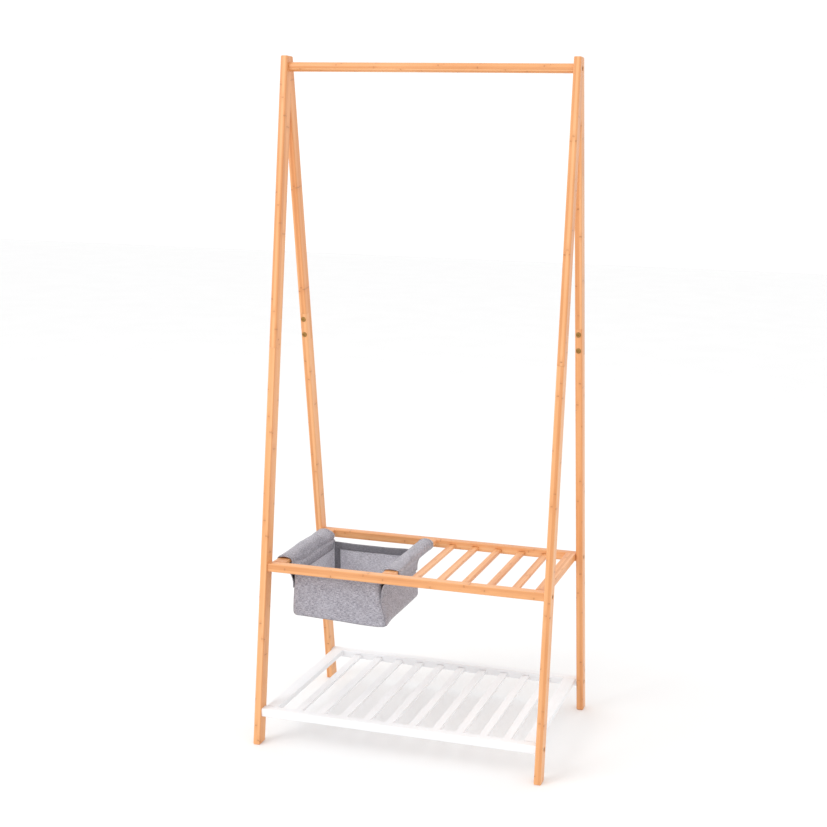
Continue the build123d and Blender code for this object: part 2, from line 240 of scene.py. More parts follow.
@dataclass(frozen=True)
class Bamboo:
    """Lacquered laminated bamboo: glued strips, long fibres and brown growth rings."""

    light: Colour = (0.86, 0.475, 0.225)
    middle: Colour = (0.80, 0.375, 0.15)
    deep: Colour = (0.62, 0.235, 0.07)
    ring: Colour = (0.36, 0.13, 0.04)
    strip_width: float = 5.4 * MM
    strip_depth: float = 13.0 * MM
    ring_spacing: float = 0.23
    ring_width: float = 2.2 * MM
    roughness: float = 0.42
    coat: float = 0.18
    coat_roughness: float = 0.28

    def material(self, name: str, grain: Grain, seed: int, tone: float) -> bpy.types.Material:
        """Makes the finish for one piece.

        Args:
            name: the piece's name.
            grain: which way its fibres run.
            seed: moves the pattern, so that no two pieces look cut from one stick.
            tone: from -1, paler, to 1, redder.

        Returns:
            The material.
        """
        graph = Graph(f"bamboo_{name}")
        wood, shift = grain.lay(graph, seed)
        x, y, z = graph.split(wood)
        drift = graph.streaks(wood, shift, (9.0, 9.0, 1.1), 2.0)
        sway = graph.math("MULTIPLY", graph.math("SUBTRACT", drift, 0.5), 2.4 * MM)
        column = graph.math("DIVIDE", graph.math("ADD", x, sway), self.strip_width)
        layer = graph.math("DIVIDE", y, self.strip_depth)
        cell = graph.join(graph.math("FLOOR", column), graph.math("FLOOR", layer), float(seed))
        strip = graph.random(cell)
        glue = graph.math("ABSOLUTE", graph.math("SUBTRACT", graph.math("FRACT", column), 0.5))
        glue = graph.spread(glue, 0.46, 0.5, 0.0, 1.0)
        fibre = graph.streaks(wood, shift, (950.0, 950.0, 9.0), 3.0, 0.6)
        streak = graph.streaks(wood, shift, (240.0, 240.0, 2.6), 3.0, 0.55)
        fleck = graph.streaks(wood, shift, (1500.0, 1500.0, 55.0), 1.0)
        fleck = graph.spread(fleck, 0.66, 0.76, 0.0, 1.0)
        cloud = graph.streaks(wood, shift, (22.0, 22.0, 5.0), 2.0)
        parts = ((strip, 0.44), (streak, 0.52), (cloud, 0.46), (fibre, 0.16))
        value = graph.weigh(*parts, offset=0.14 * tone - 0.28)
        body = graph.ramp(value, [(0.12, self.light), (0.5, self.middle), (0.95, self.deep)])
        along = graph.math("DIVIDE", z, self.ring_spacing)
        along = graph.math("ADD", along, graph.math("MULTIPLY", strip, 7.0))
        waver = graph.streaks(wood, shift, (420.0, 420.0, 30.0), 2.0)
        along = graph.math("ADD", along, graph.math("MULTIPLY", waver, 0.012))
        near = graph.math("ABSOLUTE", graph.math("SUBTRACT", graph.math("FRACT", along), 0.5))
        reach = self.ring_width / self.ring_spacing
        ring = graph.spread(near, 0.0, reach, 1.0, 0.0)
        halo = graph.spread(near, 0.0, 7.0 * reach, 0.36, 0.0)
        mottle = graph.spread(graph.noise(wood, 210.0, 2.0), 0.35, 0.7, 0.25, 0.85)
        body = graph.mix(halo, body, self.deep)
        body = graph.mix(graph.math("MULTIPLY", ring, mottle), body, self.ring)
        body = graph.mix(graph.math("MULTIPLY", fleck, 0.28), body, self.ring)
        body = graph.mix(graph.math("MULTIPLY", glue, 0.26), body, self.ring)
        height = graph.math("MULTIPLY", fibre, 0.45)
        height = graph.math("ADD", height, graph.math("MULTIPLY", ring, 0.5))
        height = graph.math("SUBTRACT", height, graph.math("MULTIPLY", fleck, 0.25))
        graph.set(
            Base_Color=body,
            Roughness=graph.spread(
                streak, 0.25, 0.75, self.roughness - 0.07, self.roughness + 0.09
            ),
            Coat_Weight=self.coat,
            Coat_Roughness=self.coat_roughness,
        )
        graph.bump(height, 0.12 * MM, 0.55)
        return graph.material


@dataclass(frozen=True)
class WhitePaint:
    """Satin white paint over bamboo, with faint brush lines and grain showing through."""

    colour: Colour = (0.90, 0.905, 0.92)
    shade: Colour = (0.83, 0.835, 0.85)
    roughness: float = 0.44
    coat: float = 0.12
    coat_roughness: float = 0.3

    def material(self, name: str, grain: Grain, seed: int) -> bpy.types.Material:
        """Makes the finish for one piece.

        Args:
            name: the piece's name.
            grain: which way its fibres and brush lines run.
            seed: moves the pattern.

        Returns:
            The material.
        """
        graph = Graph(f"white_{name}")
        wood, shift = grain.lay(graph, seed)
        brush = graph.streaks(wood, shift, (700.0, 700.0, 7.0), 3.0, 0.6)
        cloud = graph.streaks(wood, shift, (35.0, 35.0, 6.0), 3.0)
        orange = graph.noise(wood, 900.0, 1.0)
        value = graph.weigh((brush, 0.4), (cloud, 0.6))
        graph.set(
            Base_Color=graph.ramp(value, [(0.3, self.shade), (0.62, self.colour)]),
            Roughness=graph.spread(cloud, 0.3, 0.7, self.roughness - 0.06, self.roughness + 0.08),
            Coat_Weight=self.coat,
            Coat_Roughness=self.coat_roughness,
        )
        height = graph.weigh((brush, 0.7), (orange, 0.3))
        graph.bump(height, 0.09 * MM, 0.5)
        return graph.material


@dataclass(frozen=True)
class Metal:
    """Plated or turned metal with fine lathe lines and small worn spots."""

    name: str
    colour: Colour
    worn: Colour
    roughness: float

    def material(self) -> bpy.types.Material:
        """Makes the finish."""
        graph = Graph(self.name)
        points = graph.points()
        lines = graph.streaks(points, STILL, (2600.0, 300.0, 2600.0), 2.0)
        spots = graph.noise(points, 420.0, 3.0, 0.6)
        graph.set(
            Base_Color=graph.mix(graph.spread(spots, 0.45, 0.7, 0.0, 0.8), self.colour, self.worn),
            Metallic=1.0,
            Roughness=graph.spread(spots, 0.3, 0.7, self.roughness - 0.06, self.roughness + 0.14),
        )
        graph.bump(lines, 0.03 * MM, 0.5)
        return graph.material


@dataclass(frozen=True)
class Melange:
    """Woven cloth of mixed pale and dark yarns, in rows that follow the cloth."""

    name: str
    light: Colour
    middle: Colour
    dark: Colour
    yarn: float = 1.15 * MM
    roughness: float = 0.94
    sheen: float = 0.22
    depth: float = 0.30 * MM

    def material(self) -> bpy.types.Material:
        """Makes the finish, which reads the piece's own flat pattern in metres."""
        graph = Graph(self.name)
        cloth = graph.uv()
        u, v, _ = graph.split(cloth)
        wander = graph.streaks(cloth, STILL, (60.0, 900.0, 1.0), 2.0)
        row = graph.math("DIVIDE", v, self.yarn)
        row = graph.math("ADD", row, graph.math("MULTIPLY", wander, 0.5))
        column = graph.math("DIVIDE", u, self.yarn * 0.92)
        over = graph.math("SINE", graph.math("MULTIPLY", row, 2 * math.pi))
        across = graph.math("SINE", graph.math("MULTIPLY", column, 2 * math.pi))
        weave = graph.math("MULTIPLY", over, across)
        weave = graph.spread(weave, -1.0, 1.0, 0.0, 1.0)
        slub = graph.streaks(cloth, (0.3, 0.1, 0.0), (130.0, 880.0, 1.0), 3.0, 0.65)
        warp = graph.streaks(cloth, (0.7, 0.4, 0.0), (880.0, 150.0, 1.0), 2.0, 0.6)
        patch = graph.streaks(cloth, (0.2, 0.9, 0.0), (34.0, 60.0, 1.0), 2.0)
        value = graph.weigh((slub, 0.62), (warp, 0.28), (weave, 0.16), (patch, 0.10))
        colour = graph.ramp(value, [(0.42, self.dark), (0.555, self.middle), (0.71, self.light)])
        height = graph.weigh((weave, 0.65), (slub, 0.5))
        graph.set(
            Base_Color=colour,
            Roughness=self.roughness,
            Sheen_Weight=self.sheen,
            Sheen_Roughness=0.5,
        )
        graph.bump(height, self.depth, 0.75)
        return graph.material


@dataclass(frozen=True)
class Pile:
    """The black hooks or loops of a fastening strip."""

    name: str = "hook_and_loop"
    colour: Colour = (0.012, 0.012, 0.013)
    tip: Colour = (0.035, 0.035, 0.038)

    def material(self) -> bpy.types.Material:
        """Makes the finish."""
        graph = Graph(self.name)
        speck = graph.noise(graph.points(), 1700.0, 2.0)
        graph.set(
            Base_Color=graph.ramp(speck, [(0.35, self.colour), (0.7, self.tip)]),
            Roughness=0.9,
            Sheen_Weight=0.15,
        )
        graph.bump(speck, 0.4 * MM, 0.8)
        return graph.material


@dataclass(frozen=True)
class Finishes:
    """Every finish that the rack uses."""

    bamboo: Bamboo = Bamboo()
    paint: WhitePaint = WhitePaint()
    brass: Metal = Metal("brass_bolt", (0.42, 0.24, 0.075), (0.22, 0.12, 0.045), 0.34)
    insert: Metal = Metal("brass_insert", (0.55, 0.36, 0.13), (0.35, 0.21, 0.08), 0.30)
    steel: Metal = Metal("steel_bolt", (0.10, 0.095, 0.09), (0.22, 0.21, 0.20), 0.42)
    cloth: Melange = Melange(
        "basket_fabric", (0.61, 0.59, 0.655), (0.31, 0.30, 0.34), (0.085, 0.08, 0.098)
    )
    # The inside face of the box: the cloth's paler back, brightened further as painted light so
    # that the shaded inside reads as bright as the lit outside.
    brightened_inner_cloth: Melange = Melange(
        "basket_lining", (0.93, 0.92, 0.97), (0.62, 0.61, 0.66), (0.28, 0.27, 0.305)
    )
    seam: Melange = Melange(
        "basket_seam", (0.36, 0.35, 0.38), (0.22, 0.21, 0.235), (0.10, 0.095, 0.11)
    )
    tape: Melange = Melange(
        "basket_tape", (0.31, 0.30, 0.33), (0.205, 0.20, 0.222), (0.115, 0.11, 0.125), 0.7 * MM
    )
    thread: Melange = Melange(
        "basket_thread", (0.30, 0.30, 0.31), (0.23, 0.23, 0.24), (0.16, 0.16, 0.17), 0.4 * MM
    )
    pile: Pile = Pile()


# ---------------------------------------------------------------- mesh helpers


def make_object(name: str, mesh: bpy.types.Mesh) -> bpy.types.Object:
    """A new object for a mesh, at the origin."""
    piece = bpy.data.objects.new(name, mesh)
    bpy.context.scene.collection.objects.link(piece)
    return piece


def build_mesh(
    name: str, points: Array, faces: list, loops_uv: Array | None = None
) -> bpy.types.Mesh:
    """A mesh from points in metres.

    Args:
        name: the mesh's name.
        points: one row of three numbers for each vertex.
        faces: the vertex indices of each face, in order.
        loops_uv: one row of two numbers for each corner of each face, in metres of cloth.

    Returns:
        The mesh, shaded smooth.
    """
    mesh = bpy.data.meshes.new(name)
    mesh.from_pydata(np.asarray(points, float).tolist(), [], [list(map(int, f)) for f in faces])
    if loops_uv is not None:
        layer = mesh.uv_layers.new(name="cloth")
        layer.data.foreach_set("uv", np.asarray(loops_uv, np.float32).ravel())
    mesh.polygons.foreach_set("use_smooth", [True] * len(mesh.polygons))
    mesh.update()
    return mesh


def smooth_path(points: list, count: int, rounds: int = 4) -> Array:
    """An even line of points along a softened route.

    Args:
        points: the route's corners.
        count: the number of new points.
        rounds: how often the corners are cut.

    Returns:
        An array (n, 2).
    """
    line = np.array(points, float)
    for _ in range(rounds):
        first = line[:-1] * 0.75 + line[1:] * 0.25
        second = line[:-1] * 0.25 + line[1:] * 0.75
        middle = np.stack([first, second], axis=1).reshape(-1, line.shape[1])
        line = np.concatenate([line[:1], middle, line[-1:]])
    lengths = np.concatenate([[0.0], np.cumsum(np.linalg.norm(np.diff(line, axis=0), axis=1))])
    at = np.linspace(0.0, lengths[-1], count)
    return np.stack([np.interp(at, lengths, line[:, k]) for k in range(line.shape[1])], axis=1)


def ease(value: Array | float, low: float, high: float) -> Array:
    """A smooth step from 0 at low to 1 at high."""
    t = np.clip((np.asarray(value, float) - low) / (high - low), 0.0, 1.0)
    return t * t * (3.0 - 2.0 * t)


class Ripple:
    """Soft, repeatable unevenness: a sum of waves with seeded directions and phases."""

    def __init__(self, seed: int, wavelength: float, waves: int = 7) -> None:
        """Draws the waves.

        Args:
            seed: the seed of the draw.
            wavelength: the typical distance between folds, in metres.
            waves: how many waves are added up.
        """
        draw = np.random.default_rng(seed)
        direction = draw.normal(size=(waves, 3))
        direction /= np.linalg.norm(direction, axis=1, keepdims=True)
        self.vectors = direction * (2 * math.pi / (wavelength * draw.uniform(0.6, 1.6, (waves, 1))))
        self.phases = draw.uniform(0.0, 2 * math.pi, waves)

    def __call__(self, points: Array) -> Array:
        """The unevenness at each point, roughly from -1 to 1."""
        total = np.sin(points @ self.vectors.T + self.phases).sum(axis=-1)
        return total / math.sqrt(len(self.phases)) / 1.4


def stiffen(piece: bpy.types.Object, thickness: float, outward: float) -> None:
    """Gives a single layer of cloth its thickness.

    Args:
        piece: the piece.
        thickness: the thickness, in metres.
        outward: 1 to thicken towards the faces' front, -1 towards their back.
    """
    modifier = piece.modifiers.new("thickness", "SOLIDIFY")
    modifier.thickness = thickness
    modifier.offset = outward
    modifier.use_even_offset = True


def dress(piece: bpy.types.Object, material: bpy.types.Material) -> None:
    """Gives a piece its only material."""
    piece.data.materials.clear()
    piece.data.materials.append(material)


def freeze(piece: bpy.types.Object) -> None:
    """Turns a piece and its modifiers into one plain mesh."""
    graph = bpy.context.evaluated_depsgraph_get()
    graph.update()
    mesh = bpy.data.meshes.new_from_object(piece.evaluated_get(graph), depsgraph=graph)
    piece.modifiers.clear()
    old = piece.data
    piece.data = mesh
    piece.data.name = piece.name
    if old.users == 0 and isinstance(old, bpy.types.Mesh):
        bpy.data.meshes.remove(old)


# ---------------------------------------------------------------- wooden frame


@dataclass
class WoodenFrame:
    """The legs, bar, shelves and fasteners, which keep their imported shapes."""

    finishes: Finishes
    nodes: dict[str, bpy.types.Object]
    names: list[str] = field(default_factory=list)

    def grain_of(self, name: str) -> Grain:
        """Which way a node's fibres run."""
        if "leg" in name:
            return Grain.FRONT_LEG if name.startswith("front") else Grain.REAR_LEG
        if "rail" in name or name == "hanging_bar":
            return Grain.ALONG_X
        return Grain.ALONG_Y

    def tone_of(self, name: str) -> float:
        """How red a bamboo node is, from -1 to 1."""
        if "upper_leg" in name:
            return 0.35
        if "slat" in name:
            return 0.1
        if "board" in name:
            return -0.1
        return 0.0

    def dress(self) -> None:
        """Gives every wooden and metal node its finish."""
        metal = {
            "lap_bolts": self.finishes.brass.material(),
            "inserts": self.finishes.insert.material(),
            "bolts": self.finishes.steel.material(),
        }
        for seed, (name, node) in enumerate(sorted(self.nodes.items()), start=1):
            if name.startswith("basket_"):
                continue
            known = [key for key in metal if name.endswith(key)]
            if known:
                material = metal[known[0]]
            elif name.startswith("lower_shelf"):
                material = self.finishes.paint.material(name, self.grain_of(name), seed)
            else:
                grain = self.grain_of(name)
                material = self.finishes.bamboo.material(name, grain, seed, self.tone_of(name))
            dress(node, material)
            self.names.append(name)


# ---------------------------------------------------------------- basket


@dataclass
class BasketShell:
    """The box of the basket: one lofted, sagging shell, open at the top."""

    front: float
    rear: float
    left: float
    right: float
    base: float
    rim: float
    step: float = 3.0 * MM
    edge_radius: float = 12.0 * MM
    thickness: float = 1.6 * MM

    def lattice(self) -> tuple[Array, list, Array]:
        """The shell's flat-sided lattice.

        Returns:
            The lattice places as fractions of the box, the faces, and the side that each
            face belongs to (0 x-low, 1 x-high, 2 y-low, 3 y-high, 4 base).
        """
        spans = (self.right - self.left, self.rear - self.front, self.rim - self.base)
        counts = [max(4, round(span / self.step)) for span in spans]
        index: dict[tuple[int, ...], int] = {}
        faces, sides = [], []
        for side, (axis, end, first, second) in enumerate(SHELL_SIDES):
            for a, b in np.ndindex(counts[first], counts[second]):
                face = []
                for i, j in ((a, b), (a + 1, b), (a + 1, b + 1), (a, b + 1)):
                    place = [0, 0, 0]
                    place[axis], place[first], place[second] = end * counts[axis], i, j
                    face.append(index.setdefault(tuple(place), len(index)))
                faces.append(face)
                sides.append(side)
        places = np.array(list(index)) / np.array(counts)
        return places, faces, np.array(sides)

    def wall(self, side: int, y: Array | float, z: Array | float) -> Array:
        """The outer face of a side wall, before the cloth slumps.

        Args:
            side: -1 for the left wall, 1 for the right one.
            y: how far to the rear.
            z: the height.

        Returns:
            The wall's X.
        """
        pinch = 1.0 - ease(y, self.front, self.front + 60 * MM)
        lift = ease(z, self.base + 20 * MM, self.rim)
        foot = 1.0 - ease(z, self.base + 4 * MM, self.base + 70 * MM)
        if side < 0:
            return self.left - 1.0 * MM * foot + (-0.5 + 5.0 * pinch) * MM * lift
        spread = (5.5 + 6.0 * pinch) * MM
        return self.right + spread * foot - (1.0 + 4.0 * pinch) * MM * lift

    def shape(self, places: Array, depth: float = 0.0) -> Array:
        """Rounds, leans and sags the lattice.

        Args:
            places: fractions of the box.
            depth: how far inside the outer face the points lie, in metres.

        Returns:
            The points, in metres.
        """
        size = np.array([self.right - self.left, self.rear - self.front, self.rim - self.base])
        flat = np.asarray(places, float) * size
        radius = self.edge_radius
        high = size - radius
        high[2] = size[2] + 1.0
        inner = np.clip(flat, radius, high)
        away = flat - inner
        reach = np.linalg.norm(away, axis=1, keepdims=True)
        rounded = inner + away / np.maximum(reach, 1e-9) * (radius - depth)
        share = rounded / size
        y = self.front + share[:, 1] * size[1]
        z = self.base + share[:, 2] * size[2]
        x_low, x_high = self.wall(-1, y, z), self.wall(1, y, z)
        x = x_low + share[:, 0] * (x_high - x_low)
        return self.slump(np.stack([x, y, z], axis=1), np.clip(share, 0.0, 1.0))

    def slump(self, points: Array, share: Array) -> Array:
        """Lets the cloth sag, bow and pucker."""
        fx, fy, fz = share.T
        across = np.sin(math.pi * fx)
        along = np.sin(math.pi * fy)
        bottom = 1.0 - ease(fz, 0.0, 0.35)
        top = ease(fz, 0.55, 1.0)
        billow = Ripple(3, 0.075)(points)
        pucker = Ripple(9, 0.021)(points)
        points = points.copy()
        drop = 4.0 * (1 - fx) ** 2 - 2.6 * ease(fx, 0.35, 0.85) + 2.0 * ease(fx, 0.88, 1.0)
        points[:, 2] += bottom * (drop - 3.0 * across * along + 0.6 * billow) * MM
        points[:, 2] -= top * across * 1.6 * MM
        belly = np.sin(math.pi * np.clip(fz * 0.9 + 0.06, 0, 1))
        rear_front = ease(fy, 0.93, 1.0) - (1.0 - ease(fy, 0.0, 0.07))
        right_left = ease(fx, 0.93, 1.0) - (1.0 - ease(fx, 0.0, 0.07))
        push = (1.8 * belly + 1.1 * billow + 0.3 * pucker) * MM
        points[:, 1] += rear_front * across * (push - top * 2.2 * MM)
        points[:, 0] += right_left * along * push * 0.7
        return points

    def flat_pattern(self, points: Array, faces: list, sides: Array) -> Array:
        """The cloth's own coordinates for each corner of each face."""
        axes = {0: (1, 2), 1: (1, 2), 2: (0, 2), 3: (0, 2), 4: (0, 1)}
        rows = []
        for face, side in zip(faces, sides):
            a, b = axes[int(side)]
            rows += [(points[v][a] + 0.31 * side, points[v][b]) for v in face]
        return np.array(rows)

    def build(self) -> bpy.types.Object:
        """Makes the shell as one piece with its real thickness; its inner face gets the paler
        inside cloth, brightened as painted light against the shade inside the box.
        """
        places, faces, sides = self.lattice()
        points = self.shape(places)
        pattern = self.flat_pattern(points, faces, sides)
        piece = make_object("basket_shell", build_mesh("basket_shell", points, faces, pattern))
        stiffen(piece, self.thickness, -1.0)
        # The inner face takes the second material: the paler inside cloth, brightened as painted
        # light.
        piece.modifiers["thickness"].material_offset = 1
        return piece

    def fraction(self, value: float, axis: int) -> float:
        """Where a coordinate lies in the box, as a fraction."""
        low = (self.left, self.front, self.base)[axis]
        high = (self.right, self.rear, self.rim)[axis]
        return (value - low) / (high - low)

    def patch(self, name: str, places: Array, depth: float, thickness: float) -> bpy.types.Object:
        """A strip of cloth laid on the shell.

        Args:
            name: the piece's name.
            places: an array (rows, columns, 3) of fractions of the box.
            depth: how far inside the shell's outer face its middle lies.
            thickness: its thickness.

        Returns:
            The piece.
        """
        rows, columns = places.shape[:2]
        points = self.shape(places.reshape(-1, 3), depth).reshape(rows, columns, 3)
        return strip(name, points, thickness)


def strip(name: str, points: Array, thickness: float) -> bpy.types.Object:
    """A band of cloth over a grid of points, whose pattern follows its own lengths.

    Args:
        name: the piece's name.
        points: an array (rows, columns, 3), in metres.
        thickness: the cloth's thickness, half of it on each side of the points.

    Returns:
        The piece.
    """
    rows, columns = points.shape[:2]
    index = np.arange(rows * columns).reshape(rows, columns)
    corners = [index[:-1, :-1], index[1:, :-1], index[1:, 1:], index[:-1, 1:]]
    faces = np.stack(corners, axis=-1).reshape(-1, 4)
    down = np.linalg.norm(np.diff(points, axis=0), axis=2).mean(axis=1)
    over = np.linalg.norm(np.diff(points, axis=1), axis=2).mean(axis=0)
    v = np.concatenate([[0.0], np.cumsum(down)])
    u = np.concatenate([[0.0], np.cumsum(over)])
    pattern = np.stack(np.broadcast_arrays(u[None, :], v[:, None]), axis=2)
    flat = pattern.reshape(-1, 2)[faces.ravel()]
    piece = make_object(name, build_mesh(name, points.reshape(-1, 3), faces, flat))
    stiffen(piece, thickness, 0.0)
    return piece


@dataclass
class Sleeve:
    """A band of cloth that goes from a wall, over a board, and back to the wall."""

    name: str
    shell: BasketShell
    side: int
    inner: float
    outer: float
    top: float
    under: float
    seed: int
    thickness: float = 1.5 * MM
    rows: int = 84
    columns: int = 88
    front_inset: float = 9.0 * MM
    rear_slant: float = 7.0 * MM
    front_loft: float = 3.0 * MM
    rear_loft: float = 8.6 * MM
    rear_bulge: float = 6.0 * MM
    seam_drop: float = 17.0 * MM
    join_drop: float = 31.0 * MM
    end_drop: float = 45.5 * MM

    def route(self, y: float) -> list[tuple[float, float]]:
        """The corners of the band's section, from the inner seam to the flap's end."""
        side, inner, outer, top, under = self.side, self.inner, self.outer, self.top, self.under
        width = abs(outer - inner)
        share = float(ease(y, self.shell.front, self.shell.front + 110 * MM))
        loft = self.front_loft + (self.rear_loft - self.front_loft) * share
        rear = float(ease(y, self.shell.rear - 90 * MM, self.shell.rear))
        bulge = (2.0 * MM + self.rear_bulge * rear) * (1.0 if side < 0 else 0.35)

        def wall(z: float, gap: float) -> tuple[float, float]:
            """A point beside the wall; a positive gap is outside the box."""
            return float(self.shell.wall(side, y, z)) + side * gap, z

        rim = self.shell.rim
        join = rim - self.join_drop
        return [
            wall(rim - self.seam_drop, -2.7 * MM),
            wall(rim - 9 * MM, -2.9 * MM),
            (wall(rim, -2.8 * MM)[0] - side * 0.5 * bulge, rim + 1 * MM),
            (inner - side * (1.6 * MM + bulge), under - 1 * MM),
            (inner - side * (1.4 * MM + bulge), top),
            (inner + side * 1.5 * MM, top + 0.8 * loft),
            (inner + side * 0.38 * width, top + loft + 0.6 * MM),
            (inner + side * 0.72 * width, top + loft),
            (outer - side * 0.2 * MM, top + 0.55 * loft),
            (outer + side * 1.5 * MM, top - 1 * MM),
            (outer + side * 1.5 * MM, under + 1 * MM),
            (outer - side * 1.5 * MM, under - 2.6 * MM),
            (outer - side * 0.45 * width, under - 11 * MM),
            wall(rim - 13 * MM, 9.0 * MM),
            wall(join + 4 * MM, 4.0 * MM),
            wall(join - 5 * MM, 2.5 * MM),
            wall(rim - self.end_drop, 2.5 * MM),
        ]

    def grid(self) -> Array:
        """The band's points, an array (rows, columns, 3)."""
        front, rear = self.shell.front + self.front_inset, self.shell.rear
        points = np.zeros((self.rows, self.columns, 3))
        along = np.linspace(0.0, 1.0, self.rows)
        slant = self.rear_slant * ease(along, 0.35, 0.75)
        for column, share in enumerate(np.linspace(0.0, 1.0, self.columns)):
            line = smooth_path(self.route(front + share * (rear - front)), self.rows)
            points[:, column, 0] = line[:, 0]
            points[:, column, 1] = front + share * (rear - front - slant)
            points[:, column, 2] = line[:, 1]
        return self.relax(points)

    def normals(self, points: Array) -> Array:
        """The direction out of the board at each point."""
        step = np.gradient(points[:, :, [0, 2]], axis=0)
        normal = np.stack([-step[:, :, 1], step[:, :, 0]], axis=2) * self.side
        return normal / np.maximum(np.linalg.norm(normal, axis=2, keepdims=True), 1e-9)

    def relax(self, points: Array) -> Array:
        """Puckers the band, sags its crown and thickens its two hemmed ends."""
        normal = self.normals(points)
        rows, columns = points.shape[:2]
        flat = points.reshape(-1, 3)
        fold = Ripple(self.seed, 0.058)(flat).reshape(rows, columns)
        pucker = Ripple(self.seed + 1, 0.017)(flat).reshape(rows, columns)
        along = np.linspace(0.0, 1.0, rows)[:, None]
        free = np.sin(math.pi * np.clip(along * 1.1, 0.0, 1.0)) ** 0.7
        clear = ease(points[:, :, 2], self.top + 1 * MM, self.top + 6 * MM) * 0.6 + 0.4
        lip = np.abs(np.linspace(-1.0, 1.0, columns))[None, :]
        hem = 0.45 * MM * (1.0 - ease(lip, 0.90, 0.935)) - 0.45 * MM
        height = points[:, :, 2]
        inside = 1.0 - ease(along, 0.22, 0.3)
        drift = Ripple(self.seed + 2, 0.12)(flat).reshape(rows, columns)
        wander = self.top - (15.0 + 4.0 * drift) * MM
        crease = np.exp(-(((height - wander) / (3.2 * MM)) ** 2)) * inside
        roll = np.exp(-(((height - wander - 8 * MM) / (5.0 * MM)) ** 2)) * inside
        amount = (0.8 * fold + 0.28 * pucker) * MM * free * clear - hem * free
        amount += (1.6 * roll - 2.6 * crease) * MM
        crown = ease(height, self.top, self.top + 5 * MM)
        amount -= 1.0 * MM * ease(lip, 0.97, 1.0) * crown
        points = points.copy()
        points[:, :, 0] += normal[:, :, 0] * amount
        points[:, :, 2] += normal[:, :, 1] * amount
        return points

    def offset(self, points: Array, distance: float) -> Array:
        """The points moved out of the board by a distance."""
        normal = self.normals(points)
        moved = points.copy()
        moved[:, :, 0] += normal[:, :, 0] * distance
        moved[:, :, 2] += normal[:, :, 1] * distance
        return moved

    def build(self) -> tuple[bpy.types.Object, Array]:
        """Makes the band as one piece with its real thickness, and returns its points."""
        points = self.grid()
        piece = strip(self.name, points if self.side > 0 else points[:, ::-1], self.thickness)
        return piece, points

    def hook_strip(self, points: Array) -> bpy.types.Object:
        """The black strip on the flap's inner face."""
        join = self.shell.rim - self.join_drop
        low, high = join - 4 * MM, join + 20 * MM
        rows = range(self.rows // 2, self.rows)
        chosen = [row for row in rows if low < points[row, :, 2].mean() < high]
        inner = self.offset(points, -(self.thickness / 2 + 0.35 * MM))
        line = inner[chosen][:, 1:-1]
        name = self.name.replace("sleeve_cloth", "hook_strip")
        return strip(name, line if self.side > 0 else line[:, ::-1], 0.6 * MM)


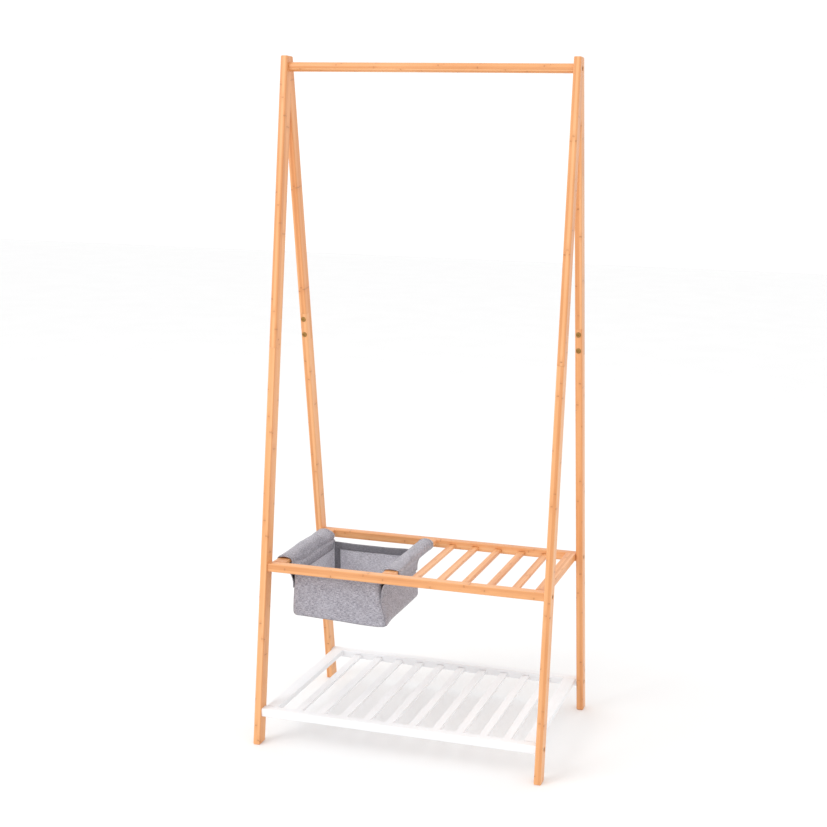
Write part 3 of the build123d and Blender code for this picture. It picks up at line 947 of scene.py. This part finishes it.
class StitchTree:
    """A node tree that sews a row of stitches along every edge path of a piece."""

    SPACING, LENGTH, RADIUS, THREAD = "Spacing", "Stitch length", "Thread radius", "Thread"
    SIZES = {SPACING: 3.6 * MM, LENGTH: 2.9 * MM, RADIUS: 0.32 * MM}
    NODES = {
        "given": "NodeGroupInput",
        "curve": "GeometryNodeMeshToCurve",
        "even": "GeometryNodeResampleCurve",
        "tangent": "GeometryNodeInputTangent",
        "turn": "FunctionNodeAlignRotationToVector",
        "spots": "GeometryNodeInstanceOnPoints",
        "stitch": "GeometryNodeMeshUVSphere",
        "half": "ShaderNodeMath",
        "size": "ShaderNodeCombineXYZ",
        "real": "GeometryNodeRealizeInstances",
        "finish": "GeometryNodeSetMaterial",
        "result": "NodeGroupOutput",
    }
    LINKS = (
        ("given", "Geometry", "curve", "Mesh"),
        ("curve", "Curve", "even", "Curve"),
        ("given", SPACING, "even", "Length"),
        ("tangent", "Tangent", "turn", "Vector"),
        ("even", "Curve", "spots", "Points"),
        ("stitch", "Mesh", "spots", "Instance"),
        ("turn", "Rotation", "spots", "Rotation"),
        ("given", RADIUS, "size", "X"),
        ("given", RADIUS, "size", "Y"),
        ("given", LENGTH, "half", 0),
        ("half", 0, "size", "Z"),
        ("size", "Vector", "spots", "Scale"),
        ("spots", "Instances", "real", "Geometry"),
        ("real", "Geometry", "finish", "Geometry"),
        ("given", THREAD, "finish", "Material"),
        ("finish", "Geometry", "result", "Geometry"),
    )

    def __init__(self) -> None:
        """Builds the tree."""
        self.tree = bpy.data.node_groups.new("stitches", "GeometryNodeTree")
        face = self.tree.interface
        face.new_socket("Geometry", in_out="INPUT", socket_type="NodeSocketGeometry")
        self.sockets = {
            name: face.new_socket(name, in_out="INPUT", socket_type="NodeSocketFloat").identifier
            for name in (self.SPACING, self.LENGTH, self.RADIUS)
        }
        thread = face.new_socket(self.THREAD, in_out="INPUT", socket_type="NodeSocketMaterial")
        self.sockets[self.THREAD] = thread.identifier
        face.new_socket("Geometry", in_out="OUTPUT", socket_type="NodeSocketGeometry")
        nodes = {key: self.tree.nodes.new(kind) for key, kind in self.NODES.items()}
        nodes["even"].mode = "LENGTH"
        nodes["turn"].axis = "Z"
        nodes["stitch"].inputs["Segments"].default_value = 6
        nodes["stitch"].inputs["Rings"].default_value = 5
        nodes["half"].operation = "MULTIPLY"
        nodes["half"].inputs[1].default_value = 0.5
        for source, output, target, entry in self.LINKS:
            self.tree.links.new(nodes[source].outputs[output], nodes[target].inputs[entry])

    def sew(self, name: str, paths: list[Array], thread: bpy.types.Material) -> bpy.types.Object:
        """Sews stitches along paths and returns them as one plain mesh.

        Args:
            name: the piece's name.
            paths: arrays (n, 3) of points, in metres.
            thread: the thread's finish.

        Returns:
            The piece.
        """
        points = np.concatenate(paths)
        edges, first = [], 0
        for path in paths:
            edges += [(first + k, first + k + 1) for k in range(len(path) - 1)]
            first += len(path)
        mesh = bpy.data.meshes.new(name)
        mesh.from_pydata(points.tolist(), edges, [])
        piece = make_object(name, mesh)
        modifier = piece.modifiers.new("stitches", "NODES")
        modifier.node_group = self.tree
        for name, size in self.SIZES.items():
            modifier[self.sockets[name]] = size
        modifier[self.sockets[self.THREAD]] = thread
        freeze(piece)
        dress(piece, thread)
        return piece


def tube(points: Array, radius: float, sides: int = 8) -> tuple[Array, list]:
    """The points and faces of a closed round tube along a path."""
    count = len(points)
    tangent = np.gradient(points, axis=0)
    tangent /= np.linalg.norm(tangent, axis=1, keepdims=True)
    guide = np.array([0.31, 0.52, 0.79])
    first = np.cross(tangent, guide)
    first /= np.linalg.norm(first, axis=1, keepdims=True)
    second = np.cross(tangent, first)
    angle = np.linspace(0.0, 2 * math.pi, sides, endpoint=False)
    ring = first[:, None] * np.cos(angle)[None, :, None]
    ring = ring + second[:, None] * np.sin(angle)[None, :, None]
    skin = (points[:, None] + radius * ring).reshape(-1, 3)
    faces = []
    for k in range(count - 1):
        for s in range(sides):
            n = (s + 1) % sides
            faces.append([k * sides + s, k * sides + n, (k + 1) * sides + n, (k + 1) * sides + s])
    faces.append(list(range(sides))[::-1])
    faces.append([(count - 1) * sides + s for s in range(sides)])
    return skin, faces


@dataclass
class Basket:
    """The fabric basket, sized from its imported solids."""

    finishes: Finishes
    body: str = "basket"
    hem_height: float = 16.0 * MM
    tape_width: float = 17.0 * MM
    tape_inset: float = 0.012
    loop_drops: tuple[float, float] = (34.0 * MM, 18.0 * MM)
    seam_radius: float = 0.85 * MM
    seam_depth: float = 0.15 * MM
    sleeve_cut: tuple[float, float] = (218.0 * MM, 160.0 * MM)
    pieces: list[bpy.types.Object] = field(default_factory=list)

    def __post_init__(self) -> None:
        """Reads the basket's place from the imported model."""
        panel_low, panel_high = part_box("basket_front_panel")
        self.shell = BasketShell(
            front=panel_low.y,
            rear=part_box("basket_back_panel")[1].y,
            left=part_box("basket_left_wall")[0].x,
            right=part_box("basket_right_wall")[1].x,
            base=panel_low.z,
            rim=panel_high.z,
        )
        self.cloth = self.finishes.cloth.material()
        self.brightened_inner_cloth = self.finishes.brightened_inner_cloth.material()
        self.tape = self.finishes.tape.material()
        self.pile = self.finishes.pile.material()
        self.thread = self.finishes.thread.material()
        self.stitches = StitchTree()

    def settle(self, piece: bpy.types.Object, slot: str, *nodes: str) -> bpy.types.Object:
        """Makes a piece a plain mesh that rides on the basket and stands for some nodes."""
        if piece.modifiers:
            freeze(piece)
        if nodes:
            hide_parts(*nodes)
        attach(piece, self.body)
        self.pieces.append(piece)
        return piece

    def box(self) -> bpy.types.Object:
        """Makes the sagging box."""
        piece = self.shell.build()
        piece.data.materials.append(self.cloth)
        # Second material: the inside cloth, brightened as painted light against the shade inside
        # the box.
        piece.data.materials.append(self.brightened_inner_cloth)
        names = ("front_panel", "back_panel", "base_panel", "left_wall", "right_wall")
        return self.settle(piece, "basket_fabric", *(f"basket_{name}" for name in names))

    def hem(self, word: str, end: float, inward: float) -> bpy.types.Object:
        """Makes the dark hem inside the rim of one end panel.

        Args:
            word: the hem's name.
            end: 0 for the front panel, 1 for the back one.
            inward: the direction into the box along Y.

        Returns:
            The piece.
        """
        section = [
            (2.2 * MM, -self.hem_height),
            (2.3 * MM, -8 * MM),
            (2.3 * MM, -1 * MM),
            (1.6 * MM, 1.0 * MM),
            (0.4 * MM, 1.2 * MM),
            (-0.8 * MM, 0.4 * MM),
            (-0.8 * MM, -3.0 * MM),
        ]
        line = smooth_path(section, 18)
        across = np.linspace(0.022, 0.978, 74)
        points = np.zeros((len(line), len(across), 3))
        for row, (depth, drop) in enumerate(line):
            height = self.shell.fraction(self.shell.rim + drop, 2)
            places = np.array([(x, end, height) for x in across])
            points[row] = self.shell.shape(places, depth)
        x, z = points[:, :, 0], points[:, :, 2]
        crease = np.sin((x + 0.85 * z) * 2 * math.pi / 0.034)
        crease += 0.6 * np.sin((x - 1.2 * z) * 2 * math.pi / 0.051 + 1.0)
        hang = ease(line[:, 0], 1.2 * MM, 2.3 * MM)[:, None]
        points[:, :, 1] += inward * hang * (0.45 + 0.3 * crease) * MM
        flip = points if end == 0 else points[:, ::-1]
        piece = strip(f"basket_{word}_hem", flip, 0.8 * MM)
        dress(piece, self.tape)
        return piece

    def trim(self) -> None:
        """Makes the hems, the corner tapes and the loop strips on the walls."""
        hems = [self.hem("front", 0.0, 1.0), self.hem("back", 1.0, -1.0)]
        self.settle(hems[0], "basket_tape", "basket_rim_hems")
        self.settle(hems[1], "basket_tape")
        low = self.shell.fraction(self.shell.base + 7 * MM, 2)
        high = self.shell.fraction(self.shell.rim - self.hem_height + 2 * MM, 2)
        wide = self.tape_width / (self.shell.right - self.shell.left)
        for word, x, y in CORNERS:
            span = np.linspace(self.tape_inset, self.tape_inset + wide, 8)
            span = 1 - span[::-1] if x else span
            span = span[::-1] if y else span
            places = np.array([[(a, y, b) for a in span] for b in np.linspace(low, high, 34)])
            piece = self.shell.patch(f"basket_{word}_tape", places, 2.2 * MM, 0.7 * MM)
            dress(piece, self.tape)
            nodes = ("basket_corner_tapes",) if word == "front_left" else ()
            self.settle(piece, "basket_tape", *nodes)
        for word, x in (("left", 0), ("right", 1)):
            span = np.linspace(0.04, 0.985, 70)
            span = span[::-1] if x == 0 else span
            levels = self.shell.rim - np.linspace(*self.loop_drops, 7)
            heights = [self.shell.fraction(level, 2) for level in levels]
            places = np.array([[(x, a, b) for a in span] for b in heights])
            piece = self.shell.patch(f"basket_{word}_loop_strip", places, -0.45 * MM, 0.6 * MM)
            dress(piece, self.pile)
            nodes = ("basket_loop_strips",) if x == 0 else ()
            self.settle(piece, "hook_and_loop", *nodes)

    def sleeves(self) -> list[tuple[Sleeve, Array]]:
        """Makes the two sleeves and the hook strips on their flaps."""
        left_low, left_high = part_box("middle_shelf_left_board")
        right_low, right_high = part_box("middle_shelf_centre_board")
        bands = []
        for word, side, inner, outer, seed in (
            ("left", -1, left_high.x, left_low.x, 21),
            ("right", 1, right_low.x, right_high.x, 41),
        ):
            name = f"basket_{word}_sleeve_cloth"
            band = Sleeve(name, self.shell, side, inner, outer, left_high.z, left_low.z, seed)
            if side > 0:
                band.front_inset = 1.5 * MM
            piece, points = band.build()
            dress(piece, self.cloth)
            hook = band.hook_strip(points)
            dress(hook, self.pile)
            self.settle(hook, "hook_and_loop", *(("basket_hook_strips",) if side < 0 else ()))
            self.settle(piece, "basket_fabric", f"basket_{word}_sleeve")
            bands.append((band, points))
        return bands

    def seams(self, bands: list[tuple[Sleeve, Array]]) -> bpy.types.Object:
        """Makes the raised seams of the box's edges and of the sleeves' inner joins."""
        t = np.linspace(0.0, 1.0, 70)
        zero, one = np.zeros_like(t), np.ones_like(t)
        up = 0.03 + 0.9 * t
        routes = [(t, zero, zero), (t, one, zero), (zero, t, zero), (one, t, zero)]
        routes += [(x, y, up) for y in (zero, one) for x in (zero, one)]
        lines = [self.shell.shape(np.stack(route, axis=1), self.seam_depth) for route in routes]
        for _, grid in bands:
            lines.append(grid[1, 1:-1] + np.array([0.0, 0.0, -0.6 * MM]))
        points, faces = np.zeros((0, 3)), []
        for line in lines:
            skin, ring = tube(line, self.seam_radius)
            faces += [[vertex + len(points) for vertex in face] for face in ring]
            points = np.concatenate([points, skin])
        flat = [(points[v][0] + points[v][1], points[v][2]) for face in faces for v in face]
        mesh = build_mesh("basket_seams", points, faces, np.array(flat))
        piece = make_object("basket_seams", mesh)
        dress(piece, self.finishes.seam.material())
        return self.settle(piece, "basket_fabric")

    def sew(self, bands: list[tuple[Sleeve, Array]]) -> None:
        """Sews every visible row of stitches."""
        paths = []
        for band, points in bands:
            skin = band.offset(points, band.thickness / 2 + 0.12 * MM)
            paths += [skin[1:-1, 3], skin[1:-1, -4], skin[2, 2:-2], skin[-3, 2:-2], skin[-11, 2:-2]]
        height = self.shell.fraction(self.shell.rim - self.hem_height + 2.5 * MM, 2)
        for end, depth in ((0.0, 3.4 * MM), (1.0, 3.4 * MM)):
            places = np.array([(x, end, height) for x in np.linspace(0.04, 0.96, 80)])
            paths.append(self.shell.shape(places, depth))
            paths.append(self.shell.shape(places, -0.1 * MM))
        low = self.shell.fraction(self.shell.base + 9 * MM, 2)
        high = self.shell.fraction(self.shell.rim - self.hem_height, 2)
        wide = self.tape_width / (self.shell.right - self.shell.left)
        for end in (0.0, 1.0):
            for x in (0.03, wide, 1 - wide, 0.97):
                places = np.array([(x, end, z) for z in np.linspace(low, high, 40)])
                paths.append(self.shell.shape(places, 2.7 * MM))
        self.settle(self.stitches.sew("basket_stitches", paths, self.thread), "basket_fabric")

    def build(self) -> list[bpy.types.Object]:
        """Makes the whole basket."""
        box = self.box()
        self.trim()
        bands = self.sleeves()
        self.seams(bands)
        self.sew(bands)
        return self.pieces


# ---------------------------------------------------------------- studio


@dataclass
class Studio:
    """The camera, lights and floor."""

    place: Colour = (0.93796, -2.58190, 1.28119)
    heading: float = math.radians(13.9756)
    pitch: float = math.radians(11.1290)
    roll: float = math.radians(1.3921)
    lens: float = 54.794
    shift: float = -0.17338
    sensor: float = 36.0
    floor_half: float = 14.0
    ambient: float = 1.08

    def camera(self) -> None:
        """Sets the camera at the viewing angle."""
        ahead = Vector(
            (
                -math.sin(self.heading) * math.cos(self.pitch),
                math.cos(self.heading) * math.cos(self.pitch),
                -math.sin(self.pitch),
            )
        )
        level = Vector((math.cos(self.heading), math.sin(self.heading), 0.0))
        above = level.cross(ahead)
        right = level * math.cos(self.roll) + above * math.sin(self.roll)
        up = above * math.cos(self.roll) - level * math.sin(self.roll)
        data = bpy.data.cameras.new("camera")
        data.lens = self.lens
        data.sensor_width = self.sensor
        data.shift_x = self.shift
        data.clip_start, data.clip_end = 0.05, 60.0
        camera = bpy.data.objects.new("camera", data)
        axes = Matrix((right, up, -ahead)).transposed().to_4x4()
        camera.matrix_world = Matrix.Translation(self.place) @ axes
        bpy.context.scene.collection.objects.link(camera)
        bpy.context.scene.camera = camera

    def light(self, name: str, place: Colour, size: float, power: float, aim: Colour) -> None:
        """Adds one soft square light that points at a place."""
        data = bpy.data.lights.new(name, "AREA")
        data.shape = "SQUARE"
        data.size = size
        data.energy = power
        lamp = bpy.data.objects.new(name, data)
        lamp.location = place
        lamp.rotation_euler = (Vector(aim) - Vector(place)).to_track_quat("-Z", "Y").to_euler()
        bpy.context.scene.collection.objects.link(lamp)

    def floor(self) -> None:
        """Adds the pale floor."""
        corners = ((-1, -1), (1, -1), (1, 1), (-1, 1))
        points = np.array([(x * self.floor_half, y * self.floor_half, 0.0) for x, y in corners])
        piece = make_object("floor", build_mesh("floor", points, [[0, 1, 2, 3]]))
        graph = Graph("floor")
        speck = graph.noise(graph.points(), 3.0, 2.0)
        colour = graph.ramp(speck, [(0.3, (0.90,) * 3), (0.7, (0.915,) * 3)])
        graph.set(Base_Color=colour, Roughness=0.9)
        dress(piece, graph.material)

    def world(self) -> None:
        """Fills the room with even white light."""
        world = bpy.data.worlds.new("studio")
        world.use_nodes = True
        back = world.node_tree.nodes["Background"]
        back.inputs["Color"].default_value = (1.0, 1.0, 1.0, 1.0)
        back.inputs["Strength"].default_value = self.ambient
        bpy.context.scene.world = world
        bpy.context.scene.view_settings.view_transform = "Standard"

    def build(self) -> None:
        """Sets up the whole studio."""
        self.camera()
        self.floor()
        self.world()
        self.light("key", (-2.6, -2.6, 3.2), 2.2, 55.0, (0.0, 0.0, 0.7))


def main() -> None:
    """Builds the rack's looks in order and reports each piece."""
    logging.basicConfig(level=logging.INFO, format="%(name)s: %(message)s")
    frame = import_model()
    Studio().build()
    finishes = Finishes()
    wood = WoodenFrame(finishes, frame["nodes"])
    wood.dress()
    log.info("dressed %d nodes of the frame", len(wood.names))
    for piece in Basket(finishes).build():
        log.info("%s: %d faces", piece.name, len(piece.data.polygons))


if __name__ == "__main__":
    main()
